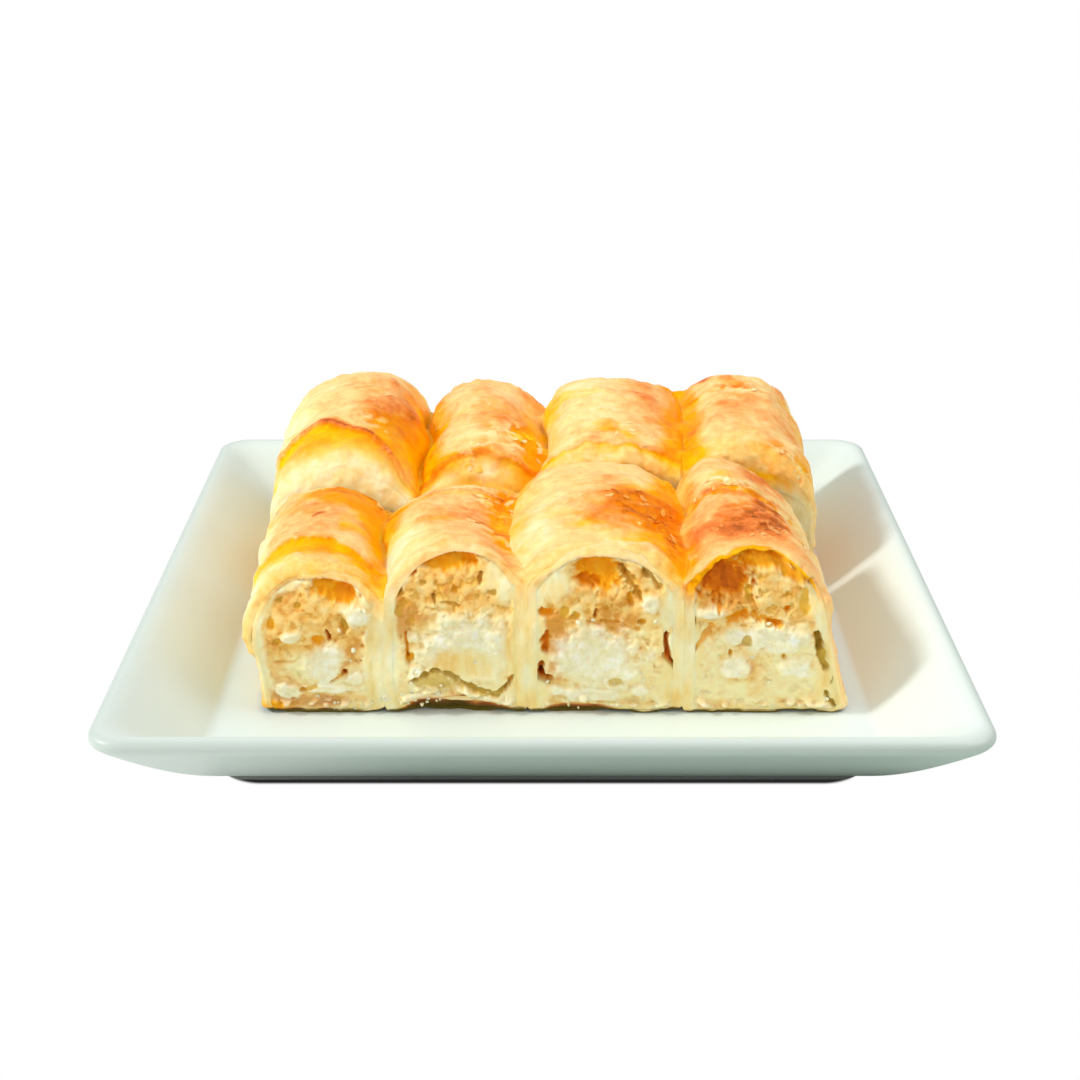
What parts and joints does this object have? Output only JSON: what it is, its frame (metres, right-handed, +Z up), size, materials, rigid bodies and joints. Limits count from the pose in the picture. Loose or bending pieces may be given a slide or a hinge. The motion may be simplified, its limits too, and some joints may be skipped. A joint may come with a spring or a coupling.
{
  "type": "cheese borek roll portion on a plate",
  "caption": "Two rows of short baked filo rolls with curd cheese filling showing at the cuts, standing as baked on a shallow square porcelain plate with flared walls.",
  "frame": {"origin": "middle of the plate's foot, at the height of the table", "axes": "+Z up; -Y is the front, where the cut ends of the first row of rolls face; +X to the right seen from the front, across the rolls"},
  "size_m": [0.202, 0.202, 0.0555],
  "materials": {
    "porcelain": "glossy white glaze",
    "baked_filo": "buttered, golden to brown, thin wrinkled sheets",
    "curd_filling": "moist white curds in soaked, porous filo"
  },
  "bodies": {
    "root": {"plate": "porcelain", "front_roll_1_wrapper": "baked_filo", "front_roll_1_filling": "curd_filling", "front_roll_2_wrapper": "baked_filo", "front_roll_2_filling": "curd_filling", "front_roll_3_wrapper": "baked_filo", "front_roll_3_filling": "curd_filling", "front_roll_4_wrapper": "baked_filo", "front_roll_4_filling": "curd_filling", "back_roll_1_wrapper": "baked_filo", "back_roll_1_filling": "curd_filling", "back_roll_2_wrapper": "baked_filo", "back_roll_2_filling": "curd_filling", "back_roll_3_wrapper": "baked_filo", "back_roll_3_filling": "curd_filling", "back_roll_4_wrapper": "baked_filo", "back_roll_4_filling": "curd_filling"}
  },
  "joints": []
}
